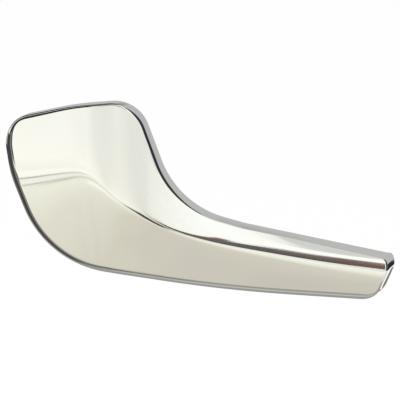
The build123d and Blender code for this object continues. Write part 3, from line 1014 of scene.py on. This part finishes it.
# Each card: colour, turn to the right from and to, height from and to, softness of its sides and of its
# ends, all in degrees, and how far its left and its right side lean over for each degree of height.
CARDS = [
    ((0.885, 0.90, 0.835), (-13, 60), (-5, 9), (16, 5), UPRIGHT),  # grey wall on the right
    ((0.71, 0.72, 0.705), (-10, 60), (56.3, 90), (1, 1.6), UPRIGHT),  # grey cloth overhead
    ((0.71, 0.72, 0.705), (-10, -6.3), (52, 90), (0.4, 1.6), UPRIGHT),  # where it hangs lower
    ((0.53, 0.54, 0.53), (105, 255), (-12, 90), (10, 1), UPRIGHT),  # cloth behind
    ((0.03, 0.025, 0.04), (105, 255), (-15.6, -9.2), (10, 1), UPRIGHT),  # dark skirting behind
    ((1.08, 1.08, 1.02), (105, 255), (-19.6, -15.3), (10, 0.6), UPRIGHT),  # white strip on the floor behind
    ((0.20, 0.20, 0.195), (105, 255), (-90, -19.4), (10, 0.8), UPRIGHT),  # shade under the part
    ((0.35, 0.35, 0.34), (105, 255), (-90, -29), (10, 4), UPRIGHT),  # and paler painted shade on the floor there
    ((0.20, 0.20, 0.195), (183, 255), (-20, -15), (1.5, 0.8), UPRIGHT),  # shade at the end of the strip
    ((0.03, 0.03, 0.03), (188, 262), (16, 88), (8, 8), UPRIGHT),  # dark roof behind on the left
    ((0.03, 0.03, 0.03), (-80, -16.5), (9, 88), (1, 3), UPRIGHT),  # dark roof on the left
    ((0.03, 0.035, 0.05), (35, 140), (-8, 75), (5, 5), UPRIGHT),  # dark door on the right
    ((1.0, 1.0, 0.95), (28, 100), (-45, -12), (5, 4), UPRIGHT),  # white card low on the right
    ((0.06, 0.06, 0.058), (-105, -36), (-60, 9), (2, 6), UPRIGHT),  # dark side on the left
    ((0.06, 0.06, 0.058), (-105, -29), (-13, 9), (2, 3), UPRIGHT),  # its upper half reaches nearer
    ((0.26, 0.25, 0.24), (-56, -42), (-60, 9), (4, 6), UPRIGHT),  # lighter strip in it
    ((1.09, 1.10, 1.02), (-28, -24.8), (-16.5, -12), (0.5, 1.5), UPRIGHT),  # bright edge of the paper
    ((1.12, 1.12, 1.06), (-45, -17.5), (-8.9, -6.6), (2, 0.5), UPRIGHT),  # white batten over the rods
    ((0.45, 0.45, 0.43), (-45, -23.1), (-9.6, -9.05), (0.4, 0.15), UPRIGHT),  # upper rod across the paper
    ((0.52, 0.52, 0.50), (-45, -23.5), (-12.4, -11.9), (0.4, 0.15), UPRIGHT),  # lower rod across the paper
    ((0.12, 0.12, 0.113), (-13, -6.6), (9.5, 33.5), (1, 1.5), UPRIGHT),  # gap for the lens
    ((0.05, 0.05, 0.047), (-10.1, -9.3), (4.6, 10), (0.6, 0.8), (0.0, 0.345)),  # its narrow lower end
    ((0.11, 0.10, 0.093), (-6.8, -3.1), (11.5, 37.5), (0.5, 1.5), (0.0, -0.062)),  # its right side
    ((0.20, 0.11, 0.092), (-6.65, -5.3), (20, 39), (0.4, 3), UPRIGHT),  # warm cloth in the gap
    ((0.165, 0.098, 0.08), (-7, -5.3), (9, 21), (0.4, 3), UPRIGHT),  # its darker foot
    ((0.05, 0.05, 0.047), (-10.95, -9.75), (-13, -0.7), (0.5, 0.6), (0.99, 0.42)),  # foot of the gap
    ((0.05, 0.05, 0.047), (-21.4, -10.3), (-17.5, -12.5), (0.5, 0.8), (0.0, 0.42)),  # its shadow below
    ((0.05, 0.05, 0.047), (-20.3, -10.3), (-20, -17), (0.5, 0.8), (0.0, 0.42)),  # and the end of the shadow
]
print("paper stops:", len(PAPER_AND_SHADE_RAMP), "cards:", len(CARDS))

# %% Light tent for the reflections
TENT_RADIUS, TENT_SEGMENTS = 1.6, 96
FOLD_SHADE, FOLD_SCALE, FOLD_LIMITS = 0.03, 16.0, (0.4, 0.68)  # how much the painted shade in the cloth's folds darkens it, and where
DEGREES = 180 / math.pi


def tent_cloth():
    """Glowing cloth, painted by direction from the part."""
    material, bench = new_material("tent_cloth")
    spot = bench.node("ShaderNodeTexCoord", out="Object")
    away = bench.node("ShaderNodeVectorMath", {"operation": "SUBTRACT"}, {0: spot, 1: LOOK_AT})
    away = bench.node("ShaderNodeVectorMath", {"operation": "NORMALIZE"}, {0: away})
    x, y, z = bench.node("ShaderNodeSeparateXYZ", {}, {"Vector": away}, out=("X", "Y", "Z"))
    height = z.math("ARCSINE") * DEGREES
    turn = x.math("ARCTAN2", -1.0 * y) * DEGREES
    # paper tones by height, with painted shade of the floor under the part in the low ones
    stops = [(0.5 + tall / 180, color) for tall, color in PAPER_AND_SHADE_RAMP]
    color = bench.node("ShaderNodeValToRGB", {"stops": stops}, {"Fac": 0.5 + height / 180.0})
    for card, (left, right), (low, high), (soft_turn, soft_height), (left_lean, right_lean) in CARDS:
        around = turn
        if right > 180:  # the card crosses the line straight behind, where turn jumps by a full circle
            around = turn + 360.0 * turn.math("LESS_THAN", right - 360.0 + soft_turn)
        from_left = around - left_lean * height - left
        from_right = around - right_lean * height - right
        mask = bench.step(from_left, -soft_turn / 2, soft_turn / 2)
        mask = mask * (1.0 - bench.step(from_right, -soft_turn / 2, soft_turn / 2))
        mask = mask * bench.step(height, low - soft_height / 2, low + soft_height / 2)
        mask = mask * (1.0 - bench.step(height, high - soft_height / 2, high + soft_height / 2))
        color = bench.mix(mask, color, (*card, 1.0))
    # Painted shade: noise darkens the glowing cloth a little where folds would lie in shade.
    fold_shade = bench.step(bench.noise(away, FOLD_SCALE, 3.0), *FOLD_LIMITS)
    shaded = bench.node("ShaderNodeVectorMath", {"operation": "SCALE"}, {0: color, "Scale": 1.0 - FOLD_SHADE})
    color = bench.mix(fold_shade, color, shaded)
    glow = bench.node("ShaderNodeEmission", {}, {"Color": color, "Strength": 1.0})
    bench.node("ShaderNodeOutputMaterial", {}, {"Surface": glow})
    return material


work = bmesh.new()
bmesh.ops.create_uvsphere(work, u_segments=2 * TENT_SEGMENTS, v_segments=TENT_SEGMENTS, radius=TENT_RADIUS)
bmesh.ops.translate(work, verts=work.verts, vec=LOOK_AT)
tent_mesh = bpy.data.meshes.new("light_tent")
work.to_mesh(tent_mesh)
work.free()
tent_mesh.materials.append(tent_cloth())
tent = put_in_scene("light_tent", tent_mesh)
tent.visible_camera = tent.visible_diffuse = tent.visible_shadow = tent.visible_transmission = False
print("tent radius in m:", TENT_RADIUS)

# %% [markdown]
# ## Soft lamps
# All the metal is lit by the tent. The white floor is not, so two broad lamps, one on each side, give it
# a faint soft shadow. A sun lamp would draw a hard one. Both are hidden from reflections, where they
# would show as squares.

# %% Hang the lamps
LAMP_SIZE, KEY_POWER, FILL_POWER = 0.5, 1.6, 0.8
KEY_PLACE, FILL_PLACE = (-0.35, -0.45, 0.6), (0.5, -0.2, 0.5)  # metres from the part


def soft_lamp(name, place, power):
    """Square lamp that faces the part."""
    lamp = put_in_scene(name, bpy.data.lights.new(name, "AREA"))
    lamp.data.size, lamp.data.energy = LAMP_SIZE, power
    lamp.location = LOOK_AT + Vector(place)
    lamp.rotation_euler = Vector(place).to_track_quat("Z", "Y").to_euler()
    lamp.visible_glossy = False
    print("lamp:", name, power, "W")


soft_lamp("key_lamp", KEY_PLACE, KEY_POWER)
soft_lamp("fill_lamp", FILL_PLACE, FILL_POWER)
